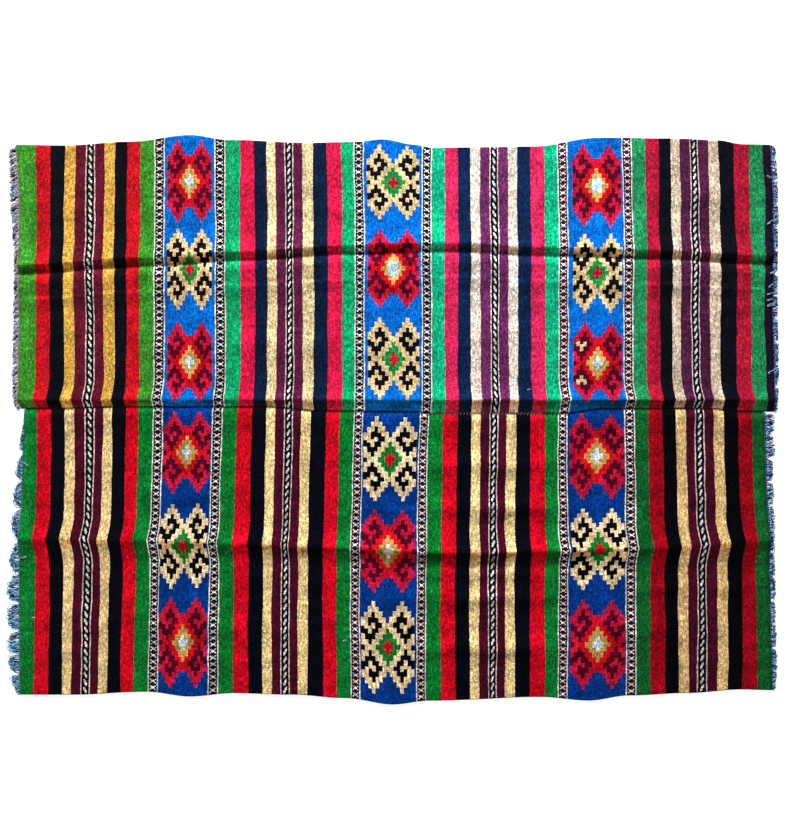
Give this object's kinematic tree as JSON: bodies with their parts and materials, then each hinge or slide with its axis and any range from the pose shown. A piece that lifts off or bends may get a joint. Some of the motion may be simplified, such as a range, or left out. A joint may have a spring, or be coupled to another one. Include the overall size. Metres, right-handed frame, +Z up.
{
  "type": "wool rug",
  "caption": "Flat-woven striped wool rug of two sewn loom widths with fringed ends, lying open with its storage creases.",
  "frame": {"origin": "on the floor, under the middle of the rug and its fringes", "axes": "+X along the warp, from the left fringe to the right fringe; +Y across the rug, from the lower loom width to the upper; +Z up, out of the face that shows"},
  "size_m": [2.0502, 1.518, 0.016],
  "materials": {
    "wool_weave": "matt weft-faced wool in green, red, black, gold, plum and blue bands",
    "warp_fringe": "matt twisted wool yarn, pale blue and grey"
  },
  "bodies": {
    "root": {"panel_upper": "wool_weave", "panel_lower": "wool_weave", "fringe_upper_left": "warp_fringe", "fringe_upper_right": "warp_fringe", "fringe_lower_left": "warp_fringe", "fringe_lower_right": "warp_fringe"}
  },
  "joints": []
}
